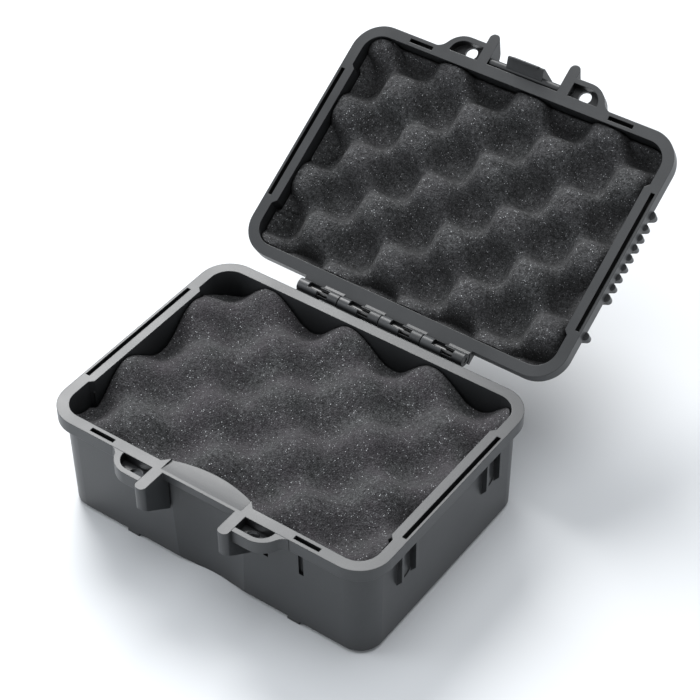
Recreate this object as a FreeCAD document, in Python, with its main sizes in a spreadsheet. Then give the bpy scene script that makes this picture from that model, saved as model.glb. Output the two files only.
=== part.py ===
"""A small moulded hard case with foam linings, standing open: +X along the hinge, -Y front, +Z up."""
import FreeCAD, Part
import math
import os
import Sketcher
from FreeCAD import Placement, Rotation, Vector

doc = FreeCAD.newDocument("hard_case")

# Driving dimensions in millimetres and degrees. Each alias is the only place where its size is written.
DRIVING_SIZES = [
    # the rim that both halves share
    ("rim_width", 190.0),
    ("rim_depth", 139.0),
    ("rim_corner", 17.0),
    ("rim_flange", 7.0),
    ("rim_overhang", 4.2),
    ("rim_gap", 0.2),
    ("shell_wall", 1.8),
    ("mould_draft", 0.8),
    # the base
    ("base_height", 62.0),
    ("base_floor", 2.4),
    ("base_edge", 2.0),
    ("foot_across", 7.0),
    ("foot_place", 48.3),
    ("foot_length", 8.0),
    # the lid
    ("lid_height", 24.0),
    ("lid_upright", 9.0),
    ("shoulder_inset", 11.5),
    ("lid_roof", 2.2),
    ("lid_edge", 2.0),
    ("rib_radius", 1.8),
    ("rib_end_radius", 2.2),
    ("rib_web", 2.4),
    ("rib_lift", 1.1),
    ("rib_foot", 4.1),
    ("rib_pitch", 5.65),
    ("rib_count", 7.0),
    ("rib_first", 10.4),
    ("rib_front", -30.4),
    ("rib_back", 16.5),
    ("rib_single", 38.2),
    # cored slots in the rim, and the inward step of the wall beside the long ones
    ("slot_depth", 5.0),
    ("slot_across", 2.2),
    ("slot_skin", 1.3),
    ("side_slot_reach", 39.0),
    ("front_slot_start", 52.5),
    ("front_slot_length", 14.0),
    ("front_slot_skin", 1.9),
    ("wall_step", 2.2),
    ("wall_step_reach", 40.5),
    # recessed pockets and thin fins under the side rims, cored slits under the front rim
    ("pocket_place", 35.0),
    ("pocket_across", 9.5),
    ("pocket_sink", 2.4),
    ("pocket_drop", 31.0),
    ("pocket_round", 4.0),
    ("fin_thickness", 1.6),
    ("fin_reach", 2.6),
    ("fin_drop", 33.0),
    ("slit_place", 54.2),
    ("slit_across", 2.7),
    ("slit_drop", 25.5),
    ("slit_sink", 2.0),
    ("slit_skin", 1.2),
    # guard arms beside the latch, on both halves
    ("guard_inside", 21.0),
    ("guard_thickness", 6.0),
    ("guard_reach", 14.5),
    ("guard_nose", 13.5),
    ("guard_root", 27.0),
    ("lid_guard_nose", 7.5),
    ("lid_guard_root", 19.0),
    ("lid_guard_reach", 16.6),
    ("lid_guard_lean", 3.4),
    ("guard_rounding", 2.7),
    # padlock ears outside the guards
    ("ear_end", 51.5),
    ("ear_waist", 46.8),
    ("ear_waist_reach", 3.7),
    ("ear_straight", 36.0),
    ("ear_reach", 10.4),
    ("ear_fillet", 7.0),
    ("ear_web", 2.8),
    ("ear_well", 5.0),
    ("ear_floor", 2.0),
    ("padlock_radius", 3.4),
    ("padlock_place", 34.0),
    ("padlock_offset", 4.0),
    # the bowed latch bay in the front wall, the thin rim that the hook catches, and the scooped ledge
    ("bay_sink", 3.5),
    ("catch_depth", 4.3),
    ("bay_half", 22.0),
    ("ledge_half", 23.2),
    ("ledge_side", 3.6),
    ("ledge_crown", 7.7),
    ("ledge_depth", 11.0),
    ("ledge_dish", 1.1),
    ("ledge_lip", 1.6),
    # the hinge
    ("hinge_offset", 5.8),
    ("hinge_drop", 1.2),
    ("open_angle", 148.0),
    ("knuckle_radius", 3.4),
    ("knuckle_length", 12.5),
    ("knuckle_pairs", 4.0),
    ("knuckle_gap", 0.5),
    ("hinge_pin_radius", 1.5),
    ("hinge_pin_inset", 0.6),
    ("pin_clearance", 0.05),
    ("window_lip", 1.4),
    ("bracket_drop", 2.0),
    ("lid_bracket_rise", 5.0),
    ("barrel_room", 0.5),
    # the latch
    ("latch_axis_out", 2.5),
    ("latch_axis_up", 2.9),
    ("latch_pin_radius", 1.0),
    ("latch_barrel_radius", 2.2),
    ("latch_side_gap", 0.4),
    ("latch_half", 10.6),
    ("latch_face_gap", 0.6),
    ("latch_shoulder", 1.6),
    ("tab_reach", 12.3),
    ("tab_rise", 4.1),
    ("tab_thickness", 1.9),
    ("hook_half", 7.7),
    ("hook_reach", 1.7),
    ("hook_height", 1.2),
    ("hook_clearance", 0.2),
    ("latch_lift", 45.0),
    # the foam linings
    ("foam_clearance", 0.4),
    ("base_foam_pitch_x", 24.8),
    ("base_foam_pitch_y", 26.6),
    ("base_foam_peak_x", -9.0),
    ("base_foam_peak_y", 61.0),
    ("base_foam_below", 1.2),
    ("base_foam_wave", 15.0),
    ("lid_foam_pitch_x", 22.9),
    ("lid_foam_pitch_y", 21.2),
    ("lid_foam_peak_x", 8.5),
    ("lid_foam_peak_y", 22.5),
    ("lid_foam_above", 1.6),
    ("lid_foam_wave", 14.0),
    ("overrun", 1.0),
]

sheet = doc.addObject("Spreadsheet::Sheet", "sizes")
for row, (alias, number) in enumerate(DRIVING_SIZES, start=1):
    sheet.set(f"A{row}", alias)
    sheet.set(f"B{row}", str(number))
    sheet.setAlias(f"B{row}", alias)
doc.recompute()


class Size:
    """A length that knows both its number and the sheet formula that it comes from."""

    def __init__(self, number, formula):
        self.number = number
        self.formula = formula

    def __add__(self, other):
        other = as_size(other)
        return Size(self.number + other.number, f"({self.formula} + {other.formula})")

    def __sub__(self, other):
        other = as_size(other)
        return Size(self.number - other.number, f"({self.formula} - {other.formula})")

    def __mul__(self, factor):
        factor = as_size(factor)
        return Size(self.number * factor.number, f"({self.formula} * {factor.formula})")

    def __truediv__(self, divisor):
        divisor = as_size(divisor)
        return Size(self.number / divisor.number, f"({self.formula} / {divisor.formula})")

    def __neg__(self):
        return Size(-self.number, f"({self.formula} * -1)")

    __rmul__ = __mul__


def slope_angle(rise, run):
    """The angle in degrees of a slope."""
    return Size(math.degrees(math.atan2(rise.number, run.number)), f"atan2({rise.formula}; {run.formula})")


def as_size(value):
    """Takes a plain factor, or zero, as it is."""
    return value if isinstance(value, Size) else Size(float(value), repr(float(value)))


def size(alias):
    """The driving dimension with this alias."""
    return Size(float(sheet.get(alias)), f"sizes.{alias}")


def bind(feature, prop, length):
    """Ties a property to the sheet."""
    feature.setExpression(prop, as_size(length).formula)


ZERO = as_size(0)
LEAST_CUT_SHARE = 1e-7
NEAR = 1e-4
OVERRUN = size("overrun")


# Sketches and features


def new_body(label):
    body = doc.addObject("PartDesign::Body", label)
    body.Label = label
    body.AllowCompound = True
    return body


def origin_plane(body, role):
    return next(item for item in body.Origin.OriginFeatures if item.Role == role)


def new_sketch(body, name, role, level=ZERO):
    """A sketch on one of the body's own origin planes, moved along that plane's normal."""
    sketch = body.newObject("Sketcher::SketchObject", name)
    sketch.AttachmentSupport = [(origin_plane(body, role), "")]
    sketch.MapMode = "FlatFace"
    bind(sketch, ".AttachmentOffset.Base.z", level)
    return sketch


def pin_point(sketch, edge, end, x, y):
    """Holds one end of an edge at a place in the sheet's sizes."""
    for kind, length in (("DistanceX", x), ("DistanceY", y)):
        index = sketch.addConstraint(Sketcher.Constraint(kind, -1, 1, edge, end, as_size(length).number))
        bind(sketch, f"Constraints[{index}]", length)


def arc_between(start, end, radius, side):
    """An arc from start to end that bulges to the right of the way (side 1) or to the left (side -1)."""
    chord = end - start
    half = chord.Length / 2
    sagitta = radius - math.sqrt(max(radius * radius - half * half, 0))
    outward = Vector(chord.y, -chord.x, 0).normalize() * side
    return Part.Arc(start, (start + end) / 2 + outward * sagitta, end)


def ends_of(sketch, edge, start):
    """Which end of an edge comes first on the way, and which last."""
    turned = (sketch.getPoint(edge, 1) - start).Length > NEAR
    return (2, 1) if turned else (1, 2)


def outline(sketch, corners, arcs=None):
    """A closed outline through corners; arcs maps a corner's index to the radius of the arc after it."""
    arcs = arcs or {}
    places = [Vector(as_size(x).number, as_size(y).number, 0) for x, y in corners]
    count = len(places)
    for index in range(count):
        start, end = places[index], places[(index + 1) % count]
        if index in arcs:
            radius = arcs[index]
            side = math.copysign(1, radius.number)
            edge = sketch.addGeometry(arc_between(start, end, abs(radius.number), side))
            first, last = ends_of(sketch, edge, start)
            held = radius if radius.number > 0 else -radius
            ruling = sketch.addConstraint(Sketcher.Constraint("Radius", edge, held.number))
            bind(sketch, f"Constraints[{ruling}]", held)
        else:
            edge = sketch.addGeometry(Part.LineSegment(start, end))
            first, last = 1, 2
        pin_point(sketch, edge, first, *corners[index])
        pin_point(sketch, edge, last, *corners[(index + 1) % count])
    return sketch


def rounded_rectangle(sketch, half_x, half_y, radius):
    """A rectangle about the origin with four round corners."""
    inner_x, inner_y = half_x - radius, half_y - radius
    corners = [
        (inner_x, -half_y), (half_x, -inner_y), (half_x, inner_y), (inner_x, half_y),
        (-inner_x, half_y), (-half_x, inner_y), (-half_x, -inner_y), (-inner_x, -half_y),
    ]
    return outline(sketch, corners, {index: radius for index in (0, 2, 4, 6)})


def pad(body, sketch, length, taper=None, middle=False):
    """Adds material along the sketch's normal; a positive taper widens the way it goes."""
    feature = body.newObject("PartDesign::Pad", sketch.Name + "_pad")
    feature.Profile = sketch
    feature.Midplane = middle
    bind(feature, "Length", length)
    if taper is not None:
        bind(feature, "TaperAngle", taper)
    doc.recompute()
    return feature


def pocket(body, sketch, length, taper=None):
    """Cuts along the sketch's normal, and stops the build if the cut misses the solid."""
    before = body.Shape.Volume
    feature = body.newObject("PartDesign::Pocket", sketch.Name + "_cut")
    feature.Profile = sketch
    feature.Reversed = True
    bind(feature, "Length", length)
    if taper is not None:
        bind(feature, "TaperAngle", taper)
    doc.recompute()
    if body.Shape.Volume > before - before * LEAST_CUT_SHARE:
        raise RuntimeError(f"{feature.Name} removes nothing")
    return feature


def block(body, kind, name, low, high):
    """A box between two corners, added to the body or cut from it."""
    feature = body.newObject(f"PartDesign::{kind}Box", name)
    for prop, near, far in zip(("Length", "Width", "Height"), low, high):
        bind(feature, prop, as_size(far) - as_size(near))
    for axis, near in zip("xyz", low):
        bind(feature, f".Placement.Base.{axis}", near)
    doc.recompute()
    return feature


def cylinder(body, kind, name, radius, height, place, turn=None):
    """A round bar or hole that starts at place and runs along +Z, or along the turned axis."""
    feature = body.newObject(f"PartDesign::{kind}Cylinder", name)
    bind(feature, "Radius", radius)
    bind(feature, "Height", height)
    if turn is not None:
        feature.Placement = Placement(Vector(), turn)
    for axis, length in zip("xyz", place):
        bind(feature, f".Placement.Base.{axis}", length)
    doc.recompute()
    return feature


def soften(body, kind, prop, name, length, chosen):
    """Rounds or bevels the edges of the body for which chosen says yes."""
    base = body.Tip
    names = [f"Edge{index + 1}" for index, edge in enumerate(base.Shape.Edges) if chosen(edge)]
    feature = body.newObject(f"PartDesign::{kind}", name)
    feature.Base = (base, names)
    bind(feature, prop, length)
    doc.recompute()
    return feature


def fillet(body, name, radius, chosen):
    return soften(body, "Fillet", "Radius", name, radius, chosen)


def chamfer(body, name, length, chosen):
    return soften(body, "Chamfer", "Size", name, length, chosen)


def mirror(body, name, originals, role="YZ_Plane"):
    feature = body.newObject("PartDesign::Mirrored", name)
    feature.Originals = originals
    feature.MirrorPlane = (origin_plane(body, role), [""])
    body.Tip = feature
    doc.recompute()
    return feature


def row_of(body, name, originals, role, pitch, count):
    """Copies along the normal of one of the origin planes."""
    feature = body.newObject("PartDesign::LinearPattern", name)
    feature.Originals = originals
    feature.Direction = (origin_plane(body, role), [""])
    feature.Mode = "Spacing"
    bind(feature, "Offset", pitch)
    bind(feature, "Occurrences", count)
    body.Tip = feature
    doc.recompute()
    return feature


ALONG_X = Rotation(Vector(0, 1, 0), 90)

# Places that both halves use

HALF_WIDTH = size("rim_width") / 2
HALF_DEPTH = size("rim_depth") / 2
RIM = size("base_height")
LID_RIM = RIM + size("rim_gap")
OVERHANG = size("rim_overhang")
WALL = size("shell_wall")
WALL_X = HALF_WIDTH - OVERHANG
WALL_Y = HALF_DEPTH - OVERHANG
WALL_CORNER = size("rim_corner") - OVERHANG
INSIDE_X = WALL_X - WALL
INSIDE_Y = WALL_Y - WALL
INSIDE_CORNER = WALL_CORNER - WALL
GUARD_OUTSIDE = size("guard_inside") + size("guard_thickness")
EAR_FRONT = HALF_DEPTH + size("ear_reach")
HINGE_Y = HALF_DEPTH + size("hinge_offset")
HINGE_Z = RIM - size("hinge_drop")
KNUCKLE = size("knuckle_length")
KNUCKLE_RADIUS = size("knuckle_radius")
HALF_HINGE = KNUCKLE * size("knuckle_pairs")
HINGE_BORE = size("hinge_pin_radius") + size("pin_clearance")
BRACKET_SHARE = 0.25
BRACKET_SLACK = KNUCKLE_RADIUS * BRACKET_SHARE
WINDOW_SHARE = 1 / 3
WINDOW_EDGE = HINGE_BORE * WINDOW_SHARE
ROOT_SHARE = 1 / 3
LID_STRAIGHT = size("lid_upright") - WALL * ROOT_SHARE
SHOULDER_RISE = size("lid_height") - size("lid_upright")
SHOULDER_TAPER = slope_angle(size("shoulder_inset"), SHOULDER_RISE)
LATCH_Y = -HALF_DEPTH - size("latch_axis_out")
LATCH_Z = LID_RIM + size("latch_axis_up")
SLIT_PLACES = (size("padlock_place"), size("slit_place"))


class Half:
    """What differs between the two halves: the rim plane's height and the way the wall goes from it."""

    def __init__(self, body, rim, away):
        self.body = body
        self.rim = rim
        self.away = away

    def level(self, distance):
        """The height this far from the rim plane, into this half."""
        return self.rim + as_size(distance) * self.away

    def span(self, near, far):
        """Two distances from the rim plane as a low and a high level."""
        return (self.level(near), self.level(far)) if self.away > 0 else (self.level(far), self.level(near))


def flange(half):
    low, high = half.span(ZERO, size("rim_flange"))
    sketch = new_sketch(half.body, "flange", "XY_Plane", low)
    rounded_rectangle(sketch, HALF_WIDTH, HALF_DEPTH, size("rim_corner"))
    pad(half.body, sketch, high - low)


def rim_slots(half):
    """Cored slots in the rim: one long slot in each side and two short ones in the front."""
    body = half.body
    low, high = half.span(-OVERRUN, size("slot_depth"))
    outer = HALF_WIDTH - size("slot_skin")
    across = size("slot_across")
    reach = size("side_slot_reach")
    side = block(body, "Subtractive", "side_slot", (outer - across, -reach, low), (outer, reach, high))
    mirror(body, "side_slots", [side])
    front = -HALF_DEPTH + size("front_slot_skin")
    start = size("front_slot_start")
    end = start + size("front_slot_length")
    short = block(body, "Subtractive", "front_slot", (start, front, low), (end, front + across, high))
    mirror(body, "front_slots", [short])


def wall_steps(half, depth):
    """The side walls step inwards beside the long slots, with sloping ends."""
    body = half.body
    reach = size("wall_step_reach")
    step = size("wall_step")
    buried = INSIDE_X + WALL / 2
    sketch = new_sketch(body, "wall_step", "XY_Plane", half.span(ZERO, depth)[0])
    outline(sketch, [
        (buried, -reach - step), (buried, reach + step), (INSIDE_X, reach + step),
        (INSIDE_X - step, reach), (INSIDE_X - step, -reach), (INSIDE_X, -reach - step),
    ])
    one = pad(body, sketch, depth)
    mirror(body, "wall_steps", [one])


def guards(half, reach, lean, nose, root, back):
    """Two upright plates beside the latch: a rounded nose, then a slope back to the wall."""
    body = half.body
    front = HALF_DEPTH + reach
    sketch = new_sketch(body, "guard", "YZ_Plane", size("guard_inside"))
    outline(sketch, [
        (back, half.rim), (-front, half.rim), (lean - front, half.level(nose)),
        (-WALL_Y, half.level(root)), (back, half.level(root)),
    ])
    plate = pad(body, sketch, size("guard_thickness"))
    mirror(body, "guards", [plate])
    ends = (half.rim.number, half.level(nose).number)

    def on_nose(edge):
        box = edge.BoundBox
        ahead = box.YMax < (lean - front).number + NEAR
        return ahead and abs(box.ZMin - min(ends)) < NEAR and abs(box.ZMax - max(ends)) < NEAR

    fillet(body, "guard_noses", size("guard_rounding"), on_nose)


def ear_lug(half, start, root, side=1):
    """The outside of a padlock ear: a bowed front that runs out into the rim. The root's corners close it."""
    body = half.body
    low, high = half.span(ZERO, size("ear_well") + size("ear_floor"))
    straight = size("ear_straight")
    waist = size("ear_waist")
    across = waist - straight
    rise = size("ear_reach") - size("ear_waist_reach")
    bow = (across * across + rise * rise) / (rise * 2)
    corners = [
        (start, -EAR_FRONT), (straight, -EAR_FRONT),
        (waist, -HALF_DEPTH - size("ear_waist_reach")), (size("ear_end"), -HALF_DEPTH),
    ] + root
    sketch = new_sketch(body, "ear", "XY_Plane", low)
    outline(sketch, [(x * side, y) for x, y in corners], {1: bow * side, 2: -size("ear_fillet") * side})
    return pad(body, sketch, high - low)


def ear_well(half, side=1):
    """The well in an ear."""
    web = size("ear_web")
    low, high = half.span(-OVERRUN, size("ear_well"))
    front = -EAR_FRONT + web
    bow = EAR_FRONT - web - HALF_DEPTH
    corner = size("ear_waist") - web
    corners = [
        (GUARD_OUTSIDE, -HALF_DEPTH), (GUARD_OUTSIDE, front), (corner - bow, front), (corner, -HALF_DEPTH),
    ]
    sketch = new_sketch(half.body, "ear_well", "XY_Plane", low)
    outline(sketch, [(x * side, y) for x, y in corners], {2: bow * side})
    return pocket(half.body, sketch, high - low)


def padlock_hole(half, side=1):
    """The hole for a padlock's shackle, through the floor of the well."""
    low, high = half.span(-OVERRUN, size("ear_well") + size("ear_floor") + OVERRUN)
    return cylinder(
        half.body, "Subtractive", "padlock_hole", size("padlock_radius"), high - low,
        (size("padlock_place") * side, -HALF_DEPTH - size("padlock_offset"), low))


def knuckles(half, first, bracket):
    """Every second knuckle of the hinge, each with its bracket."""
    body = half.body
    gap = size("knuckle_gap") / 2
    start = -HALF_HINGE + KNUCKLE * first + gap
    length = KNUCKLE - gap * 2
    barrel = cylinder(body, "Additive", "knuckle", KNUCKLE_RADIUS, length, (start, HINGE_Y, HINGE_Z), ALONG_X)
    sketch = new_sketch(body, "bracket", "YZ_Plane", start)
    outline(sketch, bracket)
    arm = pad(body, sketch, length)
    row_of(body, "knuckles", [barrel, arm], "YZ_Plane", KNUCKLE * 2, size("knuckle_pairs"))


def open_knuckles(half, start, low, high):
    """Cuts a window in one half of each knuckle so that the pin shows, and bores them all."""
    body = half.body
    end = start + KNUCKLE / 2 - size("knuckle_gap") / 2
    window = block(body, "Subtractive", "window", (start, *low), (end, *high))
    row_of(body, "windows", [window], "YZ_Plane", KNUCKLE * 2, size("knuckle_pairs"))
    reach = HALF_HINGE + OVERRUN
    cylinder(body, "Subtractive", "hinge_bore", HINGE_BORE, reach * 2, (-reach, HINGE_Y, HINGE_Z), ALONG_X)


# The base


def side_pockets(half):
    """Round-bottomed recesses under the side rims, each between two thin fins."""
    body = half.body
    half_pocket = size("pocket_across") / 2
    top = half.level(size("rim_flange"))
    bottom = half.level(size("pocket_drop"))
    bend = size("pocket_round")
    fin = size("fin_thickness")
    outer = WALL_X + size("fin_reach")
    inner = WALL_X - WALL
    features = []
    for side in (-1, 1):
        place = size("pocket_place") * side
        for edge in (-1, 1):
            middle = place + (half_pocket + fin / 2) * edge
            sketch = new_sketch(body, "fin", "XZ_Plane", -middle - fin / 2)
            outline(sketch, [
                (inner, top), (outer, top), (outer, bottom + bend), (inner, half.level(size("fin_drop"))),
            ])
            features.append(pad(body, sketch, fin))
        sketch = new_sketch(body, "side_pocket", "YZ_Plane", WALL_X - size("pocket_sink"))
        outline(sketch, [
            (place - half_pocket, top), (place - half_pocket, bottom + bend),
            (place - half_pocket + bend, bottom), (place + half_pocket - bend, bottom),
            (place + half_pocket, bottom + bend), (place + half_pocket, top),
        ], {1: bend, 3: bend})
        features.append(pocket(body, sketch, size("pocket_sink") + OVERRUN))
    mirror(body, "side_details", features)


def pocket_backs(half):
    """Keeps the wall whole behind the side pockets."""
    body = half.body
    half_pocket = size("pocket_across") / 2 + size("fin_thickness")
    features = []
    for side in (-1, 1):
        place = size("pocket_place") * side
        features.append(block(
            body, "Additive", "pocket_back",
            (INSIDE_X - size("wall_step"), place - half_pocket, size("base_edge")),
            (WALL_X - size("pocket_sink"), place + half_pocket, half.level(size("rim_flange")))))
    mirror(body, "pocket_backs", features)


def front_slits(half):
    """Narrow slits under the front rim, below the padlock holes and beside them, with the wall kept whole."""
    body = half.body
    across = size("slit_across") / 2
    skin = size("slit_skin")
    sunk = -WALL_Y + size("slit_sink")
    low, high = half.span(size("rim_flange"), size("slit_drop"))
    backs = []
    slits = []
    for place in SLIT_PLACES:
        backs.append(block(
            body, "Additive", "slit_back", (place - across - skin, -INSIDE_Y - WALL / 2, low - skin),
            (place + across + skin, sunk + skin, high)))
        slits.append(block(
            body, "Subtractive", "slit",
            (place - across, -WALL_Y - OVERRUN, low), (place + across, sunk, high)))
    mirror(body, "slit_backs", backs)
    mirror(body, "slits", slits)


def latch_bay(half):
    """The front wall bows inwards between the guards, with the wall kept whole behind it."""
    body = half.body
    sink = size("bay_sink")
    bay = size("bay_half")
    bow = (bay * bay + sink * sink) / (sink * 2)
    under = half.level(size("rim_flange"))
    floor = size("base_floor") / 2
    buried = -INSIDE_Y - WALL / 4
    lining = new_sketch(body, "bay_lining", "XY_Plane", floor)
    outline(lining, [(-bay, buried), (bay, buried), (bay, -INSIDE_Y), (-bay, -INSIDE_Y)], {2: bow})
    pad(body, lining, under - floor)
    sketch = new_sketch(body, "latch_bay", "XY_Plane", -OVERRUN)
    outline(sketch, [
        (-bay, -WALL_Y - OVERRUN), (bay, -WALL_Y - OVERRUN), (bay, -WALL_Y), (-bay, -WALL_Y),
    ], {2: bow})
    pocket(body, sketch, under + OVERRUN)
    inside = size("guard_inside")
    block(
        body, "Subtractive", "hook_catch", (-inside, -HALF_DEPTH - OVERRUN, under - OVERRUN),
        (inside, -WALL_Y, half.level(size("catch_depth"))))


def ledge(half):
    """A scooped ledge that widens the rim between the guards."""
    body = half.body
    width = size("ledge_half")
    side = size("ledge_side")
    rise = size("ledge_crown") - side
    bow = (width * width + rise * rise) / (rise * 2)
    start = width + side
    buried = -INSIDE_Y - WALL / 2
    depth = size("ledge_depth")
    sketch = new_sketch(body, "ledge", "XY_Plane", half.level(depth))
    outline(sketch, [
        (-start, buried), (start, buried), (start, -INSIDE_Y),
        (width, -INSIDE_Y + side), (-width, -INSIDE_Y + side), (-start, -INSIDE_Y),
    ], {3: bow})
    pad(body, sketch, depth)
    inner = -INSIDE_Y + size("ledge_crown")
    dish = size("ledge_dish")
    lip = -HALF_DEPTH + size("ledge_lip")
    span = inner - lip
    hollow = (span * span + dish * dish) / (dish * 2)
    scoop = new_sketch(body, "scoop", "YZ_Plane", -width)
    outline(scoop, [
        (lip, half.rim), (inner, half.level(dish)),
        (inner, half.level(-OVERRUN)), (lip, half.level(-OVERRUN)),
    ], {0: hollow})
    pocket(body, scoop, width * 2)


def base_shell():
    body = new_body("base_shell")
    half = Half(body, RIM, -1)
    draft = size("mould_draft")
    lean = slope_angle(draft, RIM)
    sketch = new_sketch(body, "wall", "XY_Plane")
    rounded_rectangle(sketch, WALL_X - draft, WALL_Y - draft, WALL_CORNER - draft)
    pad(body, sketch, RIM, lean)
    chamfer(body, "bottom_edge", size("base_edge"), lambda edge: edge.BoundBox.ZMax < NEAR)
    flange(half)
    foot = size("foot_across") / 2
    place = size("foot_place")
    front = WALL_Y - draft
    feet = [
        block(body, "Additive", "foot_front", (place - foot, -front, ZERO),
              (place + foot, -front + size("foot_length"), size("base_edge"))),
        block(body, "Additive", "foot_back", (place - foot, front - size("foot_length"), ZERO),
              (place + foot, front, size("base_edge"))),
    ]
    mirror(body, "feet", feet)
    back = -INSIDE_Y
    guards(half, size("guard_reach"), ZERO, size("guard_nose"), size("guard_root"), back)
    side_pockets(half)
    top = half.level(size("bracket_drop"))
    under = half.level(size("rim_flange"))
    inner = HALF_DEPTH - OVERHANG / 2
    slack = BRACKET_SLACK
    knuckles(half, 0, [
        (inner, under), (HALF_DEPTH + slack, under), (HINGE_Y + slack, HINGE_Z - KNUCKLE_RADIUS + slack / 2),
        (HINGE_Y, top), (inner, top),
    ])
    cavity = new_sketch(body, "cavity", "XY_Plane", size("base_floor"))
    rounded_rectangle(cavity, INSIDE_X - draft, INSIDE_Y - draft, INSIDE_CORNER - draft)
    pocket(body, cavity, RIM - size("base_floor") + OVERRUN, lean)
    wall_steps(half, RIM - size("base_edge"))
    pocket_backs(half)
    front_slits(half)
    latch_bay(half)
    ledge(half)
    rim_slots(half)
    lip = size("window_lip")
    open_knuckles(
        half, -HALF_HINGE + KNUCKLE / 2,
        (HINGE_Y - KNUCKLE_RADIUS + lip, HINGE_Z + WINDOW_EDGE),
        (HINGE_Y + KNUCKLE_RADIUS - lip, HINGE_Z + KNUCKLE_RADIUS + OVERRUN))
    return body


def base_ear(label, side):
    """A padlock ear of the base, which sits between the guard and the rim."""
    body = new_body(label)
    half = Half(body, RIM, -1)
    ear_lug(half, GUARD_OUTSIDE, [(GUARD_OUTSIDE, -HALF_DEPTH)], side)
    ear_well(half, side)
    padlock_hole(half, side)
    return body


# The lid, drawn as it lies when closed


def lid_rib(body, place, radius):
    """A round-crested rib across the lid, down both shoulders to the rim, as its crest and its web."""
    lift = size("rib_lift")
    foot_x = WALL_X + size("rib_foot")
    start = LID_RIM + size("rim_flange") - OVERRUN / 2
    top = LID_RIM + size("lid_height") + lift
    knee = LID_RIM + size("lid_upright") + lift
    top_x = WALL_X - size("shoulder_inset") + lift
    left = [(-foot_x, start), (-foot_x, knee), (-top_x, top)]
    corners = left + [(top_x, top), (foot_x, knee), (foot_x, start)]
    path = new_sketch(body, "rib_path", "XZ_Plane", -place)
    for first, last in zip(corners, corners[1:]):
        line = Part.LineSegment(*(Vector(x.number, z.number, 0) for x, z in (first, last)))
        edge = path.addGeometry(line)
        pin_point(path, edge, 1, *first)
        pin_point(path, edge, 2, *last)
    profile = new_sketch(body, "rib_section", "XY_Plane", start)
    centre = Vector(-foot_x.number, place.number, 0)
    ring = profile.addGeometry(Part.Circle(centre, Vector(0, 0, 1), radius.number))
    ruling = profile.addConstraint(Sketcher.Constraint("Radius", ring, radius.number))
    bind(profile, f"Constraints[{ruling}]", radius)
    pin_point(profile, ring, 3, -foot_x, place)
    crest = body.newObject("PartDesign::AdditivePipe", "rib")
    crest.Profile = profile
    crest.Spine = path
    crest.Transition = "Right corner"
    doc.recompute()
    web = new_sketch(body, "rib_web", "XZ_Plane", -place)
    outline(web, corners)
    return [crest, pad(body, web, size("rib_web"), middle=True)]


def lid_shell():
    body = new_body("lid_shell")
    half = Half(body, LID_RIM, 1)
    upright = size("lid_upright")
    wall = new_sketch(body, "lid_wall", "XY_Plane", LID_RIM)
    rounded_rectangle(wall, WALL_X, WALL_Y, WALL_CORNER)
    pad(body, wall, upright)
    shoulder = new_sketch(body, "shoulder", "XY_Plane", half.level(upright))
    rounded_rectangle(shoulder, WALL_X, WALL_Y, WALL_CORNER)
    pad(body, shoulder, SHOULDER_RISE, -SHOULDER_TAPER)
    top = half.level(size("lid_height")).number
    fillet(body, "lid_edge", size("lid_edge"), lambda edge: edge.BoundBox.ZMin > top - NEAR)
    flange(half)
    first = lid_rib(body, size("rib_first"), size("rib_radius"))
    row_of(body, "ribs", first, "XZ_Plane", size("rib_pitch"), size("rib_count"))
    for place in ("rib_front", "rib_back", "rib_single"):
        lid_rib(body, size(place), size("rib_end_radius"))
    back = -WALL_Y + size("shoulder_inset")
    guards(
        half, size("lid_guard_reach"), size("lid_guard_lean"), size("lid_guard_nose"),
        size("lid_guard_root"), back)
    start = GUARD_OUTSIDE - size("guard_thickness") / 2
    mirror(body, "ears", [ear_lug(half, start, [(size("ear_end"), back), (start, back)])])
    inner = HALF_DEPTH - OVERHANG / 2
    slack = BRACKET_SLACK
    rise = half.level(size("lid_bracket_rise"))
    block(
        body, "Additive", "hinge_ledge", (-HALF_HINGE, inner, half.rim), (HALF_HINGE, HINGE_Y, rise))
    cylinder(
        body, "Subtractive", "barrel_cove", KNUCKLE_RADIUS + size("barrel_room"),
        HALF_HINGE * 2 + OVERRUN * 2, (-HALF_HINGE - OVERRUN, HINGE_Y, HINGE_Z), ALONG_X)
    knuckles(half, 1, [
        (inner, LID_RIM), (HALF_DEPTH + slack, LID_RIM), (HINGE_Y - KNUCKLE_RADIUS + slack, HINGE_Z),
        (HINGE_Y + KNUCKLE_RADIUS - slack, HINGE_Z + slack), (HALF_DEPTH + slack, rise), (inner, rise),
    ])
    cavity = new_sketch(body, "cavity", "XY_Plane", LID_RIM - OVERRUN)
    rounded_rectangle(cavity, INSIDE_X, INSIDE_Y, INSIDE_CORNER)
    pocket(body, cavity, LID_STRAIGHT + OVERRUN)
    vault = new_sketch(body, "vault", "XY_Plane", half.level(LID_STRAIGHT))
    rounded_rectangle(vault, INSIDE_X, INSIDE_Y, INSIDE_CORNER)
    pocket(body, vault, size("lid_height") - size("lid_roof") - LID_STRAIGHT, -SHOULDER_TAPER)
    wall_steps(half, upright)
    mirror(body, "ear_wells", [ear_well(half)])
    mirror(body, "padlock_holes", [padlock_hole(half)])
    rim_slots(half)
    lip = size("window_lip")
    open_knuckles(
        half, -HALF_HINGE + KNUCKLE + size("knuckle_gap") / 2,
        (HINGE_Y - KNUCKLE_RADIUS + lip, HINGE_Z - KNUCKLE_RADIUS - OVERRUN),
        (HINGE_Y + KNUCKLE_RADIUS - lip, HINGE_Z - WINDOW_EDGE))
    reach = GUARD_OUTSIDE + OVERRUN
    cylinder(
        body, "Subtractive", "latch_bore", size("latch_pin_radius"), reach * 2,
        (-reach, LATCH_Y, LATCH_Z), ALONG_X)
    return body


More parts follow.
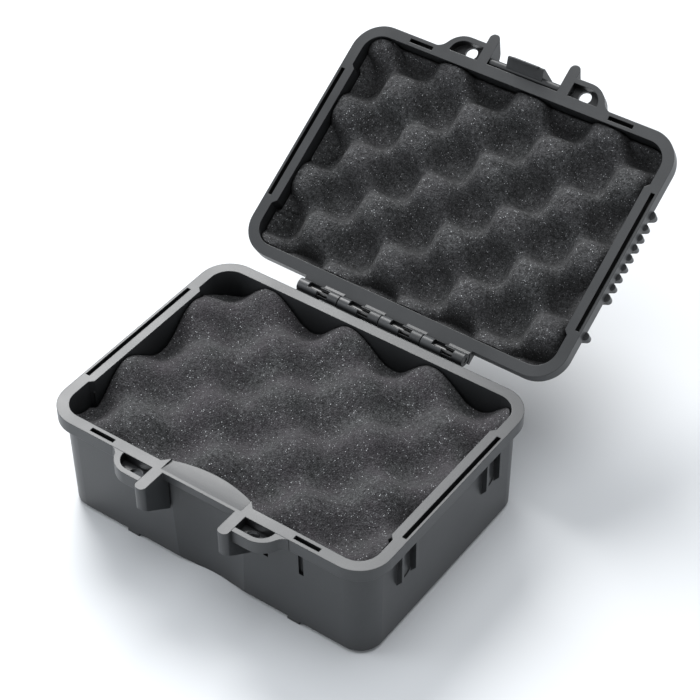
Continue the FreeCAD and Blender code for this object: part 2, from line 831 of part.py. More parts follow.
# The latch, drawn with the hook under the rim of the closed case, and the pins


def latch():
    """A barrel with a solid crank on it: a tab to lift, a flat back and a hook that catches the rim."""
    body = new_body("latch")
    barrel = size("latch_barrel_radius")
    reach = size("guard_inside") - size("latch_side_gap")
    cylinder(body, "Additive", "latch_barrel", barrel, reach * 2, (-reach, LATCH_Y, LATCH_Z), ALONG_X)
    back = -HALF_DEPTH - size("latch_face_gap")
    catch = RIM - size("catch_depth") - size("hook_clearance")
    foot = back - size("latch_shoulder")
    tab = LATCH_Y - size("tab_reach")
    under = LATCH_Z + size("tab_rise")
    crank = new_sketch(body, "crank", "YZ_Plane")
    outline(crank, [
        (back, LATCH_Z), (LATCH_Y, LATCH_Z + barrel), (tab, under + size("tab_thickness")), (tab, under),
        (foot, catch), (back, catch),
    ])
    pad(body, crank, size("latch_half") * 2, middle=True)
    hook = new_sketch(body, "hook", "YZ_Plane")
    low = catch - size("hook_height")
    outline(hook, [
        (foot, catch), (back - size("latch_shoulder") / 2, low + size("hook_height") / 2),
        (back + size("hook_reach"), low), (back + size("hook_reach"), catch),
    ])
    pad(body, hook, size("hook_half") * 2, middle=True)
    bore = size("latch_pin_radius") + size("pin_clearance")
    cylinder(
        body, "Subtractive", "latch_bore", bore, reach * 2 + OVERRUN * 2,
        (-reach - OVERRUN, LATCH_Y, LATCH_Z), ALONG_X)
    return body


def pin(label, radius, half_length, y, z):
    """A plain steel rod along the hinge direction."""
    body = new_body(label)
    cylinder(body, "Additive", label + "_rod", radius, half_length * 2, (-half_length, y, z), ALONG_X)
    return body


# The foam linings

FOAM_STEPS = 3
FACE_UP = 1
FACE_DOWN = -1


def flat(points):
    return Part.Face(Part.makePolygon(points + points[:1]))


def closed(faces):
    """A solid whose skin is these faces."""
    shape = Part.Solid(Part.Shell(faces))
    shape.fix(NEAR, NEAR, NEAR)
    return shape


def egg_crate(plane, back, facing, wave, pitch, peak):
    """A closed block whose one side is a field of peaks and hollows in checkerboard order.

    The peaks touch the plane and the hollows go wave deep, away from facing; back is the flat side's level.
    The field is made of flat facets, FOAM_STEPS for each way from a peak to the next hollow.
    """
    counts = []
    starts = []
    steps = []
    for reach, length, middle in zip((HALF_WIDTH.number, HALF_DEPTH.number), pitch, peak):
        step = length / FOAM_STEPS
        first = math.floor((-reach - middle) / step)
        last = math.ceil((reach - middle) / step)
        counts.append(last - first + 1)
        starts.append(first)
        steps.append(step)

    def swing(start, index):
        return math.cos(math.pi * (start + index) / FOAM_STEPS)

    def crest(i, j):
        return plane - facing * wave * (1 - swing(starts[0], i) * swing(starts[1], j)) / 2

    def place(i, j, level=None):
        x = peak[0] + (starts[0] + i) * steps[0]
        y = peak[1] + (starts[1] + j) * steps[1]
        return Vector(x, y, crest(i, j) if level is None else level)

    end_i, end_j = counts[0] - 1, counts[1] - 1
    faces = []
    for i in range(end_i):
        for j in range(end_j):
            a, b, c, d = place(i, j), place(i + 1, j), place(i + 1, j + 1), place(i, j + 1)
            if abs(a.z - c.z) < abs(b.z - d.z):
                faces += [flat([a, b, c]), flat([a, c, d])]
            else:
                faces += [flat([a, b, d]), flat([b, c, d])]
    sides = [
        [(i, 0) for i in range(end_i + 1)],
        [(end_i, j) for j in range(end_j + 1)],
        [(i, end_j) for i in range(end_i, -1, -1)],
        [(0, j) for j in range(end_j, -1, -1)],
    ]
    for side in sides:
        faces.append(flat([place(*spot) for spot in side] + [place(*side[-1], back), place(*side[0], back)]))
    faces.append(flat([place(*side[0], back) for side in sides]))
    return closed(faces)


def room(level, height, shrink):
    """A block with round corners that fits inside the wall."""
    half_x = INSIDE_X.number - shrink
    half_y = INSIDE_Y.number - shrink
    shape = Part.makeBox(half_x * 2, half_y * 2, height, Vector(-half_x, -half_y, level))
    upright = [edge for edge in shape.Edges if edge.BoundBox.ZLength > height / 2]
    return shape.makeFillet(INSIDE_CORNER.number - shrink, upright)


def bevelled_corners(half_x, half_y, cut, level):
    """The corners, in order, of a rectangle about the origin whose own corners are cut off."""
    quarter = [(half_x - cut, -half_y), (half_x, cut - half_y)]
    front = quarter + [(x, -y) for x, y in reversed(quarter)]
    return [Vector(x, y, level) for x, y in front] + [Vector(-x, y, level) for x, y in reversed(front)]


def frustum(lower, upper):
    """A block between two outlines with as many corners, which narrows evenly from one to the other."""
    following = list(range(1, len(lower))) + [0]
    sides = [
        flat([lower[here], lower[ahead], upper[ahead], upper[here]])
        for here, ahead in enumerate(following)
    ]
    return closed(sides + [flat(lower), flat(upper)])


def side_reliefs(low, high, clearance):
    """The room that the wall's inward steps take from a foam, on both sides."""
    reach = size("wall_step_reach").number + size("wall_step").number + clearance
    inner = INSIDE_X.number - size("wall_step").number - clearance
    width = HALF_WIDTH.number - inner
    starts = (inner, -inner - width)
    return [Part.makeBox(width, reach * 2, high - low, Vector(x, -reach, low)) for x in starts]


def slit_reliefs(clearance):
    """The room that the backs of the front slits take from the base's foam."""
    half = size("slit_across").number / 2 + size("slit_skin").number + clearance
    inner = -WALL_Y.number + size("slit_sink").number + size("slit_skin").number + clearance
    boxes = []
    for place in SLIT_PLACES:
        for x in (place.number, -place.number):
            boxes.append(Part.makeBox(half * 2, inner + HALF_DEPTH.number, RIM.number, Vector(
                x - half, -HALF_DEPTH.number, 0)))
    return boxes


def foam(label, shape):
    """A lining whose shape comes from a formula rather than from sketches."""
    feature = doc.addObject("Part::Feature", label)
    feature.Label = label
    feature.Shape = shape
    return feature


def base_foam():
    clearance = size("foam_clearance").number
    floor = size("base_floor").number
    rim = RIM.number
    shape = egg_crate(
        rim - size("base_foam_below").number, 0, FACE_UP, size("base_foam_wave").number,
        (size("base_foam_pitch_x").number, size("base_foam_pitch_y").number),
        (size("base_foam_peak_x").number, size("base_foam_peak_y").number))
    shape = shape.common(room(floor, rim - floor, clearance + size("mould_draft").number))
    bay = size("bay_half").number + clearance
    behind = INSIDE_Y.number - size("bay_sink").number - clearance
    start = (size("ledge_half") + size("ledge_side")).number + clearance
    lip = INSIDE_Y.number - size("ledge_crown").number - clearance
    depth = size("ledge_depth").number + clearance
    front = HALF_DEPTH.number
    cuts = side_reliefs(0, rim, clearance) + slit_reliefs(clearance) + [
        Part.makeBox(bay * 2, front - behind, rim, Vector(-bay, -front, 0)),
        Part.makeBox(start * 2, front - lip, depth, Vector(-start, -front, rim - depth)),
    ]
    return foam("base_foam", shape.cut(cuts))


def lid_foam():
    clearance = size("foam_clearance").number
    rim = LID_RIM.number
    roof = (size("lid_height") - size("lid_roof")).number
    straight = LID_STRAIGHT.number
    lean = math.tan(math.radians(SHOULDER_TAPER.number))
    shape = egg_crate(
        rim + size("lid_foam_above").number, rim + roof * 2, FACE_DOWN, size("lid_foam_wave").number,
        (size("lid_foam_pitch_x").number, size("lid_foam_pitch_y").number),
        (size("lid_foam_peak_x").number, size("lid_foam_peak_y").number))
    sections = []
    for level, inset in ((straight, 0), (roof, (roof - straight) * lean)):
        x = INSIDE_X.number - clearance - inset
        y = INSIDE_Y.number - clearance - inset
        sections.append(bevelled_corners(x, y, INSIDE_CORNER.number - inset, rim + level))
    shape = shape.common(room(rim, roof, clearance))
    lower = Part.makeBox(HALF_WIDTH.number * 2, HALF_DEPTH.number * 2, straight, -Vector(
        HALF_WIDTH.number, HALF_DEPTH.number, -rim))
    shape = shape.common(lower.fuse(frustum(*sections)))
    steps = side_reliefs(rim, rim + size("lid_upright").number + clearance, clearance)
    return foam("lid_foam", shape.cut(steps))


# The whole case


def turn_about(y, z, angle):
    """A turn about a line along X."""
    axis = Vector(0, y.number, z.number)
    return Placement(axis, Rotation(Vector(1, 0, 0), angle)).multiply(Placement(-axis, Rotation()))


def check(objects, parts):
    """Stops before anything is written if the document or a part isn't sound."""
    for item in objects:
        if {"Invalid", "Error"} & set(item.State):
            raise RuntimeError(f"{item.Name} is not sound: {item.State}")
    for part in parts:
        if part.Shape.isNull() or not part.Shape.isValid():
            raise RuntimeError(f"{part.Label} has no valid shape")
        if len(part.Shape.Solids) != 1:
            raise RuntimeError(f"{part.Label} is not one solid")


def main():
    base_parts = [
        base_shell(),
        base_ear("base_ear_left", -1),
        base_ear("base_ear_right", 1),
        base_foam(),
        pin("hinge_pin", size("hinge_pin_radius"), HALF_HINGE - size("hinge_pin_inset"), HINGE_Y, HINGE_Z),
    ]
    lid_parts = [
        lid_shell(),
        lid_foam(),
        pin("latch_pin", size("latch_pin_radius"), GUARD_OUTSIDE - size("hinge_pin_inset"), LATCH_Y, LATCH_Z),
    ]
    hook = latch()
    opening = turn_about(HINGE_Y, HINGE_Z, -size("open_angle").number)
    for part in lid_parts:
        part.Placement = opening
    hook.Placement = opening.multiply(turn_about(LATCH_Y, LATCH_Z, -size("latch_lift").number))
    doc.recompute()
    parts = base_parts + lid_parts + [hook]
    check(doc.Objects, parts)
    os.makedirs("parts", exist_ok=True)
    for part in parts:
        part.Shape.exportStep(f"parts/{part.Label}.step")


main()
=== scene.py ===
"""Looks of the small moulded hard case: materials, foam linings, floor, light and camera."""
import math

import bmesh
import bpy
from mathutils import Matrix, Vector, noise


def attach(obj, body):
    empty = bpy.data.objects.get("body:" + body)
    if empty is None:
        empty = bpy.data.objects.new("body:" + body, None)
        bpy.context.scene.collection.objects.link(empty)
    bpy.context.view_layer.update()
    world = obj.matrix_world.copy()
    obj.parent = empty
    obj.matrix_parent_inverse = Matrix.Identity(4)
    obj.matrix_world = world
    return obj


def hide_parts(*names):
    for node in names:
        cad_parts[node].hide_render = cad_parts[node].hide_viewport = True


MM = 0.001

# The case's sizes, in millimetres, as the CAD source has them
RIM_Z = 62.0
LID_RIM_Z = 62.2
INSIDE_X = 89.0
INSIDE_Y = 63.5
HINGE_Y = 75.3
HINGE_Z = 60.8
OPEN_ANGLE = math.radians(148.0)

# The photograph's camera: its place in millimetres, and how far it sees in metres
CAMERA_PLACE = (452.1, -573.7, 759.3)
CAMERA_AZIMUTH = math.radians(-35.985)
CAMERA_ELEVATION = math.radians(42.217)
CAMERA_ROLL = math.radians(-0.542)
CAMERA_LENS = 109.49
CAMERA_SENSOR = 36.0
CAMERA_REACH = 20.0


def opened(place):
    """Where a place of the closed lid, in millimetres, lies while the lid stands open."""
    turn = Matrix.Rotation(-OPEN_ANGLE, 3, "X")
    hinge = Vector((0, HINGE_Y, HINGE_Z))
    return turn @ (Vector(place) - hinge) + hinge


# Materials: texture scales are per metre, and levels are linear brightness

# Which sockets of a mix node are for colours: the factor and the two colours, and the result
COLOUR_MIX_INPUTS = (0, 6, 7)
COLOUR_MIX_RESULT = 2

RAY_SAMPLES = 6
PAINTED_SHADE_SHARES = (0.25, 0.85)
CLOUD_SHARES = (0.3, 0.7)


class Nodes:
    """A short way to write a material's node tree."""

    def __init__(self, name):
        self.material = bpy.data.materials.new(name)
        self.material.use_nodes = True
        self.tree = self.material.node_tree
        self.shader = self.tree.nodes["Principled BSDF"]

    def add(self, kind, inputs=None, **settings):
        node = self.tree.nodes.new(kind)
        for key, value in settings.items():
            setattr(node, key, value)
        for key, value in (inputs or {}).items():
            self.put(node.inputs[key], value)
        return node

    def put(self, socket, value):
        if isinstance(value, bpy.types.NodeSocket):
            self.tree.links.new(value, socket)
        else:
            socket.default_value = value

    def place(self):
        return self.add("ShaderNodeNewGeometry").outputs["Position"]

    def noise(self, scale, detail=3.0, roughness=0.55):
        node = self.add("ShaderNodeTexNoise", {
            "Vector": self.place(), "Scale": scale, "Detail": detail, "Roughness": roughness})
        return node.outputs["Fac"]

    def cells(self, scale):
        """Irregular cells, each with a colour of its own: about this many to a metre."""
        return self.add("ShaderNodeTexVoronoi", {"Vector": self.place(), "Scale": scale}).outputs

    def spread(self, value, low, high, new_low=0.0, new_high=1.0):
        node = self.add("ShaderNodeMapRange", {
            "Value": value, "From Min": low, "From Max": high, "To Min": new_low, "To Max": new_high})
        return node.outputs["Result"]

    def mix(self, factor, first, second, blend="MIX"):
        node = self.add("ShaderNodeMix", data_type="RGBA", blend_type=blend)
        for index, value in zip(COLOUR_MIX_INPUTS, (factor, first, second)):
            self.put(node.inputs[index], value)
        return node.outputs[COLOUR_MIX_RESULT]

    def math(self, operation, first, second):
        node = self.add("ShaderNodeMath", operation=operation)
        self.put(node.inputs[0], first)
        self.put(node.inputs[1], second)
        return node.outputs[0]

    def bump(self, height, strength, distance, before=None):
        node = self.add("ShaderNodeBump", {"Height": height, "Strength": strength, "Distance": distance})
        if before is not None:
            self.put(node.inputs["Normal"], before)
        return node.outputs["Normal"]

    def hollows(self, reach, darkest):
        """Painted shade: a factor that is 1 in the open, down to darkest where the surface is closed in."""
        node = self.add("ShaderNodeAmbientOcclusion", {"Distance": reach}, samples=RAY_SAMPLES)
        return self.spread(node.outputs["AO"], *PAINTED_SHADE_SHARES, darkest, 1.0)

    def shade(self, colour, factor):
        """The colour times a factor."""
        level = self.add("ShaderNodeCombineColor", {"Red": factor, "Green": factor, "Blue": factor})
        return self.mix(1.0, colour, level.outputs["Color"], "MULTIPLY")

    def finish(self, **sockets):
        for name, value in sockets.items():
            self.put(self.shader.inputs[name.replace("_", " ")], value)
        return self.material


def grey(level, blue=1.0):
    """A grey that is a little cooler where blue is above 1."""
    return (level * (2.0 - blue), level, level * blue, 1.0)


PLASTIC_BLUE = 1.06
PLASTIC_CLOUD_SCALE = 28.0
PLASTIC_WAVE_SCALE = 160.0
PLASTIC_GRAIN_SCALE = 1900.0
PLASTIC_TONE_SHARES = (0.9, 1.12)
PLASTIC_SPECK_SHARES = (0.93, 1.08)
PLASTIC_SPECK_SPAN_SHARES = (0.35, 0.7)
PLASTIC_SHINE_SPAN_SHARES = (0.25, 0.75)
PLASTIC_ROUGHNESS_SWING = 0.05
PLASTIC_EDGE = 0.45 * MM
PLASTIC_SHADE_REACH = 22.0 * MM
PLASTIC_GRAIN_DEPTH = 0.06 * MM
PLASTIC_GRAIN_STRENGTH = 0.22
PLASTIC_WAVE_DEPTH = 0.12 * MM
PLASTIC_WAVE_STRENGTH = 0.10


def moulded_plastic(name, level, roughness, darkest, grain_share=1.0):
    """Dark matt plastic with a fine spark-eroded grain and softened edges, painted darker as shade where it
    is closed in.
    """
    nodes = Nodes(name)
    edge = nodes.add("ShaderNodeBevel", {"Radius": PLASTIC_EDGE}, samples=RAY_SAMPLES)
    cloud = nodes.noise(PLASTIC_CLOUD_SCALE, detail=4.0)
    fine = nodes.noise(PLASTIC_GRAIN_SCALE, detail=2.0)
    dark, pale = (grey(level * share, PLASTIC_BLUE) for share in PLASTIC_TONE_SHARES)
    tone = nodes.mix(nodes.spread(cloud, *CLOUD_SHARES), dark, pale)
    dim, bright = (grey(share) for share in PLASTIC_SPECK_SHARES)
    speck = nodes.mix(nodes.spread(fine, *PLASTIC_SPECK_SPAN_SHARES), dim, bright)
    # Painted shade: the plastic's colour is darkened where the surface is closed in
    painted_shade = nodes.hollows(PLASTIC_SHADE_REACH, darkest)
    colour = nodes.shade(nodes.mix(1.0, tone, speck, "MULTIPLY"), painted_shade)
    strength = PLASTIC_GRAIN_STRENGTH * grain_share
    grained = nodes.bump(fine, strength, PLASTIC_GRAIN_DEPTH, edge.outputs["Normal"])
    wave = nodes.noise(PLASTIC_WAVE_SCALE, detail=2.0)
    waved = nodes.bump(wave, PLASTIC_WAVE_STRENGTH, PLASTIC_WAVE_DEPTH, grained)
    smoothest = roughness - PLASTIC_ROUGHNESS_SWING
    roughest = roughness + PLASTIC_ROUGHNESS_SWING
    rough = nodes.spread(cloud, *PLASTIC_SHINE_SPAN_SHARES, smoothest, roughest)
    return nodes.finish(Base_Color=colour, Roughness=rough, Normal=waved, IOR=1.5)


STEEL_STREAK_SCALES = (30.0, 900.0, 900.0)
STEEL_DARK = 0.07
STEEL_PALE = 0.14
STEEL_ROUGHNESS = (0.36, 0.52)
STEEL_SHADE_REACH = 3.0 * MM
STEEL_PAINTED_SHADE_DARKEST = 0.2
STEEL_STREAK_DEPTH = 0.02 * MM
STEEL_STREAK_STRENGTH = 0.2


def steel(name):
    """A darkened steel rod with streaks along it, and painted shade where it is closed in."""
    nodes = Nodes(name)
    streak = nodes.add("ShaderNodeMapping", {"Vector": nodes.place(), "Scale": STEEL_STREAK_SCALES})
    texture = nodes.add("ShaderNodeTexNoise", {"Vector": streak.outputs[0], "Scale": 1.0, "Detail": 3.0})
    lines = texture.outputs["Fac"]
    tone = nodes.mix(lines, grey(STEEL_DARK), grey(STEEL_PALE))
    # Painted shade: the steel's colour is darkened where it is closed in
    colour = nodes.shade(tone, nodes.hollows(STEEL_SHADE_REACH, STEEL_PAINTED_SHADE_DARKEST))
    rough = nodes.spread(lines, *CLOUD_SHARES, *STEEL_ROUGHNESS)
    ridged = nodes.bump(lines, STEEL_STREAK_STRENGTH, STEEL_STREAK_DEPTH)
    return nodes.finish(Base_Color=colour, Roughness=rough, Metallic=1.0, Normal=ridged)


FOAM_BLUE = 1.02
FOAM_DARK = 0.022
FOAM_PALE = 0.135
FOAM_CRUMB_SCALE = 520.0
FOAM_CRUMB_SPAN_SHARES = (0.34, 0.68)
FOAM_CRUMB_DEPTH = 0.4 * MM
FOAM_CRUMB_STRENGTH = 0.7
DUST_SCALE = 45.0
DUST_SPAN_SHARES = (0.35, 0.65)
DUST_COLOUR = (0.070, 0.062, 0.070, 1.0)
PORE_SCALE = 1250.0
PORE_SPAN_SHARES = (0.15, 0.75)
PORE_LEVEL = 0.008
PORE_SHARE = 0.6
PORE_DEPTH = 0.25 * MM
PORE_STRENGTH = 0.8
# Painted glints on the foam: small pale cells in its colour
GLINT_CELL_SCALE = 1300.0
GLINT_CELL_SIZE_SHARE = 0.3
UNGLINTING_CELLS_SHARE = 0.8
GLINT_POWER = 2.5
GLINT_DARK = 0.12
GLINT_PALE = 0.62


def open_foam(name, dust, reach, darkest):
    """Charcoal open-cell foam: fine pores, painted glints here and there where a cell wall would catch the
    light, and painted shade where it is closed in.
    """
    nodes = Nodes(name)
    pores = nodes.spread(nodes.cells(PORE_SCALE)["Distance"], *PORE_SPAN_SHARES)
    coarse = nodes.noise(FOAM_CRUMB_SCALE, detail=4.0, roughness=0.75)
    cloud = nodes.noise(DUST_SCALE)
    crumbs = nodes.spread(coarse, *FOAM_CRUMB_SPAN_SHARES)
    tone = nodes.mix(crumbs, grey(FOAM_DARK, FOAM_BLUE), grey(FOAM_PALE, FOAM_BLUE))
    tone = nodes.mix(nodes.spread(cloud, *DUST_SPAN_SHARES, 0.0, dust), tone, DUST_COLOUR)
    tone = nodes.mix(nodes.math("MULTIPLY", pores, PORE_SHARE), tone, grey(PORE_LEVEL))
    # Painted glints: a few small cells are painted pale, as if a cell wall caught the light
    glint_cells = nodes.cells(GLINT_CELL_SCALE)
    chances = nodes.add("ShaderNodeSeparateColor", {"Color": glint_cells["Color"]}).outputs
    small = nodes.math("LESS_THAN", glint_cells["Distance"], GLINT_CELL_SIZE_SHARE)
    spark = nodes.math("MULTIPLY", nodes.math("GREATER_THAN", chances[0], UNGLINTING_CELLS_SHARE), small)
    strong = nodes.math("POWER", chances[1], GLINT_POWER)
    glint = nodes.mix(strong, grey(GLINT_DARK, FOAM_BLUE), grey(GLINT_PALE, FOAM_BLUE))
    # Painted shade: the foam's colour is darkened where it is closed in
    colour = nodes.shade(nodes.mix(spark, tone, glint), nodes.hollows(reach, darkest))
    rugged = nodes.bump(coarse, FOAM_CRUMB_STRENGTH, FOAM_CRUMB_DEPTH)
    porous = nodes.bump(pores, PORE_STRENGTH, PORE_DEPTH, rugged)
    return nodes.finish(
        Base_Color=colour, Roughness=0.95, Normal=porous, Sheen_Weight=0.03, Sheen_Roughness=0.7,
        Specular_IOR_Level=0.15)


def dress(node, material):
    """Gives a CAD node its finish."""
    node.data.materials.clear()
    node.data.materials.append(material)


# Foam linings, in millimetres

FOAM_WAVE = 15.0
FOAM_RISE = 0.4
FOAM_GRID = 0.9
FOAM_CORNER = 10.0

BASE_FOAM_BELOW = 1.2
BASE_FOAM_CLEARANCE = 0.9
BASE_FOAM_PITCH = (24.8, 26.6)
BASE_FOAM_PEAK = (-9.0, 61.0)
BASE_FOAM_LEAN = (0.0, 0.0)
BASE_FOAM_UPRIGHT = 50.0
BASE_FOAM_BACK = 2.6
BASE_FOAM_BACK_SHARE = 0.985
BASE_FOAM_SHADE_REACH = 12.0 * MM

LID_FOAM_ABOVE = 1.6
LID_FOAM_CLEARANCE = 0.6
LID_FOAM_PITCH = (22.9, 21.2)
LID_FOAM_PEAK = (8.5, 22.5)
LID_FOAM_LEAN = (0.8, 2.4)
LID_FOAM_UPRIGHT = 6.2
LID_FOAM_BACK = 83.9
LID_FOAM_BACK_SHARE = 0.83
LID_FOAM_SHADE_REACH = 22.0 * MM

# Nearer to the wall than this, the foam leans over less
WALL_HOLD = 9.0

# How far the wall's shoulder comes inwards, as a share of how deep it goes
SHOULDER_LEAN_SHARE = 0.78

# How uneven the foam is, coarse to fine: waves to a millimetre, height, and where the noise is read
UNEVENNESS = ((0.05, 1.1, 0.0), (0.14, 0.7, 2.0), (0.9, 0.2, 5.0))


class Foam:
    """A lining's face: a field of peaks and hollows in checkerboard order.

    The peaks reach the plane, and the hollows lie below it where away is -1, above it where away is 1.
    Pitch is the way from a peak to the next hollow along x and along y, and peak is where one peak stands.
    Steep makes the slopes between them steeper, and lean is how far the bottoms of the hollows are set over.
    Upright is how deep the wall beside the foam goes before its shoulder starts, back is the level of the
    foam's flat side, and seed picks its unevenness.
    """

    def __init__(self, plane, away, pitch, peak, steep, lean, upright, back, seed):
        self.plane = plane
        self.away = away
        self.pitch = pitch
        self.peak = peak
        self.steep = steep
        self.lean = lean
        self.upright = upright
        self.back = back
        self.seed = seed

    def depth(self, x, y):
        """How far the foam lies behind its peaks' plane, as a share of the wave."""
        swing = (math.cos(math.pi * (x - self.peak[0]) / self.pitch[0])
                 * math.cos(math.pi * (y - self.peak[1]) / self.pitch[1]))
        return (1 - math.tanh(self.steep * swing) / math.tanh(self.steep)) / 2

    def point(self, x, y, room):
        """A point of the face with this much room to the wall, where it keeps clear of the shoulder."""
        share = self.depth(x, y)
        behind = FOAM_WAVE * share
        for fineness, height, apart in UNEVENNESS:
            behind += noise.noise(Vector((x * fineness, y * fineness, self.seed + apart))) * height
        behind = max(behind, -FOAM_RISE)
        behind = min(behind, self.upright + max(room, 0.0) / SHOULDER_LEAN_SHARE)
        slip = share * min(max(room / WALL_HOLD, 0.0), 1.0)
        return (x + self.lean[0] * slip, y + self.lean[1] * slip, self.plane + self.away * behind)


STEP_REACH = 44.4
STEP_SLOPE = 2.5
STEP_IN = 2.2


def half_width(y, shrink):
    """How wide the room inside the wall is at this place, from its middle."""
    full = INSIDE_X - shrink
    past = abs(y) - (INSIDE_Y - shrink - FOAM_CORNER)
    if past > 0:
        return full - FOAM_CORNER + math.sqrt(max(FOAM_CORNER ** 2 - past ** 2, 0.0))
    beside = (STEP_REACH - abs(y)) / STEP_SLOPE
    return full - STEP_IN * min(max(beside, 0.0), 1.0)


LEDGE_HALF = 27.2
LEDGE_CORNER = 23.6
LEDGE_SIDE = 4.2
LEDGE_CROWN = 8.3


def ledge(x):
    """How far the scooped ledge pushes the base foam back from the front wall."""
    across = abs(x)
    if across >= LEDGE_HALF:
        return 0.0
    if across >= LEDGE_CORNER:
        return LEDGE_SIDE * (LEDGE_HALF - across) / (LEDGE_HALF - LEDGE_CORNER)
    rise = LEDGE_CROWN - LEDGE_SIDE
    return LEDGE_SIDE + rise * (1 - (across / LEDGE_CORNER) ** 2)


SLIT_PLACES = (34.0, 54.2)
SLIT_BACK_HALF = 3.4
SLIT_BACK_IN = 1.1


def base_front(x):
    """How far the base foam stands back from the front wall, for the ledge and the backs of the slits."""
    for place in SLIT_PLACES:
        if abs(abs(x) - place) < SLIT_BACK_HALF:
            return max(ledge(x), SLIT_BACK_IN)
    return ledge(x)


def lid_front(x):
    """The lid's front wall pushes its foam back nowhere."""
    return 0.0


def base_place(place):
    """Where a place in the base lies, in metres."""
    return Vector(place) * MM


def lid_place(place):
    """Where a place in the closed lid lies while the lid stands open, in metres."""
    return opened(place) * MM


COUNT_X = round(INSIDE_X * 2 / FOAM_GRID)
COUNT_Y = round(INSIDE_Y * 2 / FOAM_GRID)


def face_rows(foam, shrink, front):
    """Rows of points over the foam's face, from the front wall to the back wall."""
    rear = INSIDE_Y - shrink
    rows = []
    for j in range(COUNT_Y + 1):
        row = []
        for i in range(COUNT_X + 1):
            across = i / COUNT_X * 2 - 1
            low = -rear + front(across * INSIDE_X)
            y = low + (rear - low) * (j / COUNT_Y)
            half = half_width(y, shrink)
            x = across * half
            row.append(foam.point(x, y, min(half - abs(x), y - low, rear - y)))
        rows.append(row)
    return rows


def edge_spots():
    """Which row each point along the face's edge is in, and where in that row, once round."""
    front = [(0, i) for i in range(COUNT_X)]
    right = [(j, COUNT_X) for j in range(COUNT_Y)]
    rear = [(COUNT_Y, i) for i in range(COUNT_X, 0, -1)]
    left = [(j, 0) for j in range(COUNT_Y, 0, -1)]
    return front + right + rear + left


def lining(name, foam, shrink, front, body, placed, back_share, finish):
    """A foam lining: a fine face that follows the wall, and sides that draw in a little towards its back."""
    mesh = bmesh.new()
    rows = face_rows(foam, shrink, front)
    tops = [[mesh.verts.new(placed(place)) for place in row] for row in rows]
    for j in range(COUNT_Y):
        for i in range(COUNT_X):
            mesh.faces.new((tops[j][i], tops[j][i + 1], tops[j + 1][i + 1], tops[j + 1][i]))
    upper = []
    lower = []
    for j, i in edge_spots():
        x, y, _ = rows[j][i]
        upper.append(tops[j][i])
        lower.append(mesh.verts.new(placed((x * back_share, y * back_share, foam.back))))
    for here in range(len(upper)):
        ahead = (here + 1) % len(upper)
        mesh.faces.new((upper[here], lower[here], lower[ahead], upper[ahead]))
    mesh.faces.new(lower)
    bmesh.ops.recalc_face_normals(mesh, faces=mesh.faces)
    data = bpy.data.meshes.new(name)
    mesh.to_mesh(data)
    mesh.free()
    for polygon in data.polygons:
        polygon.use_smooth = polygon.index < COUNT_X * COUNT_Y
    piece = bpy.data.objects.new(name, data)
    bpy.context.scene.collection.objects.link(piece)
    data.materials.append(finish)
    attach(piece, body)
    return piece


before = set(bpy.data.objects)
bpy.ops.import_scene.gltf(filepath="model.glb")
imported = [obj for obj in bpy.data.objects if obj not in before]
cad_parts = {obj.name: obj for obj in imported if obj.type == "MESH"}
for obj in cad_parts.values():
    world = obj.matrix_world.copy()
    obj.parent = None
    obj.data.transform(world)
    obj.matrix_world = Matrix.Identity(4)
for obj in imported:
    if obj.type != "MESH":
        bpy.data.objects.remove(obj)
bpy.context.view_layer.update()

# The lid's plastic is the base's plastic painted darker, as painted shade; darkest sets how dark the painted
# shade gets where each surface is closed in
BASE_FINISH = moulded_plastic("base_plastic_look", level=0.043, roughness=0.38, darkest=0.15)
LID_PAINTED_SHADE_FINISH = moulded_plastic("lid_plastic_painted_shade_look", level=0.029, roughness=0.40, darkest=0.05)
LATCH_FINISH = moulded_plastic(
    "latch_plastic_look", level=0.028, roughness=0.45, darkest=0.2, grain_share=0.6)
STEEL_FINISH = steel("steel_look")
BASE_FOAM_FINISH = open_foam("base_foam_look", dust=0.7, reach=BASE_FOAM_SHADE_REACH, darkest=0.5)
LID_FOAM_FINISH = open_foam("lid_foam_look", dust=0.2, reach=LID_FOAM_SHADE_REACH, darkest=0.15)

for finish, labels in (
    (BASE_FINISH, ("base_shell", "base_ear_left", "base_ear_right")),
    (LID_PAINTED_SHADE_FINISH, ("lid_shell",)),
    (LATCH_FINISH, ("latch",)),
    (STEEL_FINISH, ("latch_pin", "hinge_pin")),
):
    for label in labels:
        dress(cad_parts[label], finish)

base_foam = Foam(
    plane=RIM_Z - BASE_FOAM_BELOW, away=-1, pitch=BASE_FOAM_PITCH, peak=BASE_FOAM_PEAK, steep=0.5,
    lean=BASE_FOAM_LEAN, upright=BASE_FOAM_UPRIGHT, back=BASE_FOAM_BACK, seed=1.0)
base_lining = lining(
    "base_lining", base_foam, BASE_FOAM_CLEARANCE, base_front, "base", base_place,
    BASE_FOAM_BACK_SHARE, BASE_FOAM_FINISH)
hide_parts("base_foam")

lid_foam = Foam(
    plane=LID_RIM_Z + LID_FOAM_ABOVE, away=1, pitch=LID_FOAM_PITCH, peak=LID_FOAM_PEAK, steep=1.6,
    lean=LID_FOAM_LEAN, upright=LID_FOAM_UPRIGHT, back=LID_FOAM_BACK, seed=9.0)
lid_lining = lining(
    "lid_lining", lid_foam, LID_FOAM_CLEARANCE, lid_front, "lid", lid_place,
    LID_FOAM_BACK_SHARE, LID_FOAM_FINISH)
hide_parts("lid_foam")


# Floor, light and camera, in metres and watts

FLOOR_SIZE = 6.0
FLOOR_LEVEL = -0.0004
FLOOR_CLOUD_SCALE = 2.2
FLOOR_CLOUD_SHARE = 0.5
FLOOR_PALE = (0.735, 0.75, 0.765, 1)
FLOOR_DARK = (0.70, 0.72, 0.74, 1)

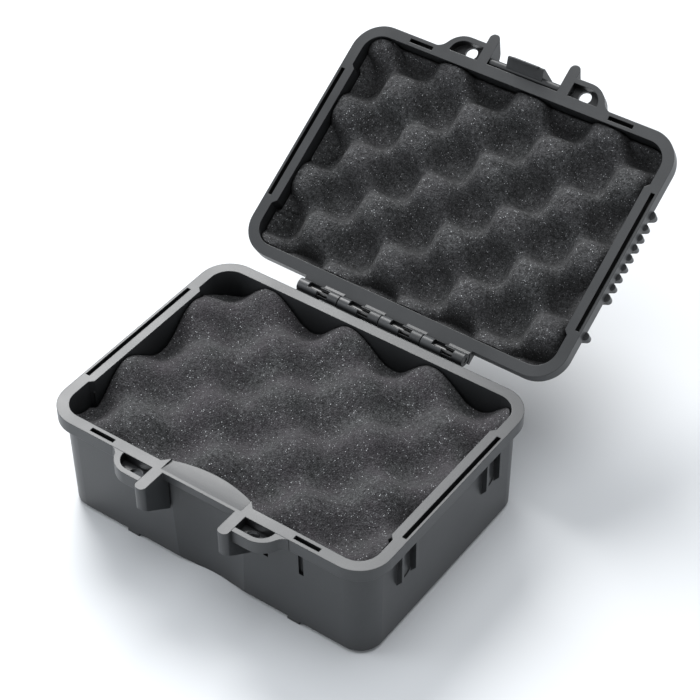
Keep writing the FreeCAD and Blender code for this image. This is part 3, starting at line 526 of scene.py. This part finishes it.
LAMPS = {
    "key": {
        "place": (-1.1, 0.92, 1.5), "target": (0.0, 0.05, 0.05), "energy": 39.0, "across": 1.1,
        "colour": (1.0, 1.0, 1.0)},
    "top": {
        "place": (0.2, 0.0, 1.7), "target": (0.0, 0.05, 0.05), "energy": 12.0, "across": 1.3,
        "colour": (0.96, 0.98, 1.0)},
    "side": {
        "place": (-0.6, -0.45, 0.5), "target": (-0.1, -0.07, 0.03), "energy": 1.9, "across": 0.5,
        "colour": (0.94, 0.97, 1.0)},
}

SKY_COLOUR = (0.93, 0.96, 1.0, 1.0)
SKY_STRENGTH = 0.49


def floor():
    """A pale floor with faint patches."""
    bpy.ops.mesh.primitive_plane_add(size=FLOOR_SIZE, location=(0.0, 0.0, FLOOR_LEVEL))
    plane = bpy.context.object
    plane.name = "floor"
    nodes = Nodes("floor_look")
    cloud = nodes.noise(FLOOR_CLOUD_SCALE, detail=2.0)
    patches = nodes.spread(cloud, *CLOUD_SHARES, 0.0, FLOOR_CLOUD_SHARE)
    colour = nodes.mix(patches, FLOOR_PALE, FLOOR_DARK)
    plane.data.materials.append(nodes.finish(Base_Color=colour, Roughness=0.55))


def lamp(name, place, target, energy, across, colour):
    """A round lamp that faces its target."""
    data = bpy.data.lights.new(name, "AREA")
    data.energy = energy
    data.shape = "DISK"
    data.size = across
    data.color = colour
    light = bpy.data.objects.new(name, data)
    light.location = place
    aim = Vector(target) - Vector(place)
    light.rotation_euler = aim.to_track_quat("-Z", "Y").to_euler()
    bpy.context.scene.collection.objects.link(light)


def camera():
    """The photograph's camera, from its azimuth, elevation and roll."""
    sin_a, cos_a = math.sin(CAMERA_AZIMUTH), math.cos(CAMERA_AZIMUTH)
    sin_e, cos_e = math.sin(CAMERA_ELEVATION), math.cos(CAMERA_ELEVATION)
    ahead = Vector((sin_a * cos_e, cos_a * cos_e, -sin_e))
    right = Vector((cos_a, -sin_a, 0.0))
    up = right.cross(ahead)
    turned_right = right * math.cos(CAMERA_ROLL) + up * math.sin(CAMERA_ROLL)
    turned_up = up * math.cos(CAMERA_ROLL) - right * math.sin(CAMERA_ROLL)
    data = bpy.data.cameras.new("camera")
    data.lens = CAMERA_LENS
    data.sensor_width = CAMERA_SENSOR
    data.clip_end = CAMERA_REACH
    eye = bpy.data.objects.new("camera", data)
    rotation = Matrix((turned_right, turned_up, -ahead)).transposed()
    eye.matrix_world = Matrix.Translation(Vector(CAMERA_PLACE) * MM) @ rotation.to_4x4()
    bpy.context.scene.collection.objects.link(eye)
    bpy.context.scene.camera = eye


def sky():
    """An even, slightly cool light from all sides."""
    world = bpy.data.worlds.new("sky")
    world.use_nodes = True
    background = world.node_tree.nodes["Background"]
    background.inputs["Color"].default_value = SKY_COLOUR
    background.inputs["Strength"].default_value = SKY_STRENGTH
    bpy.context.scene.world = world


floor()
for name, settings in LAMPS.items():
    lamp(name, **settings)
camera()
sky()
bpy.context.scene.view_settings.view_transform = "Standard"
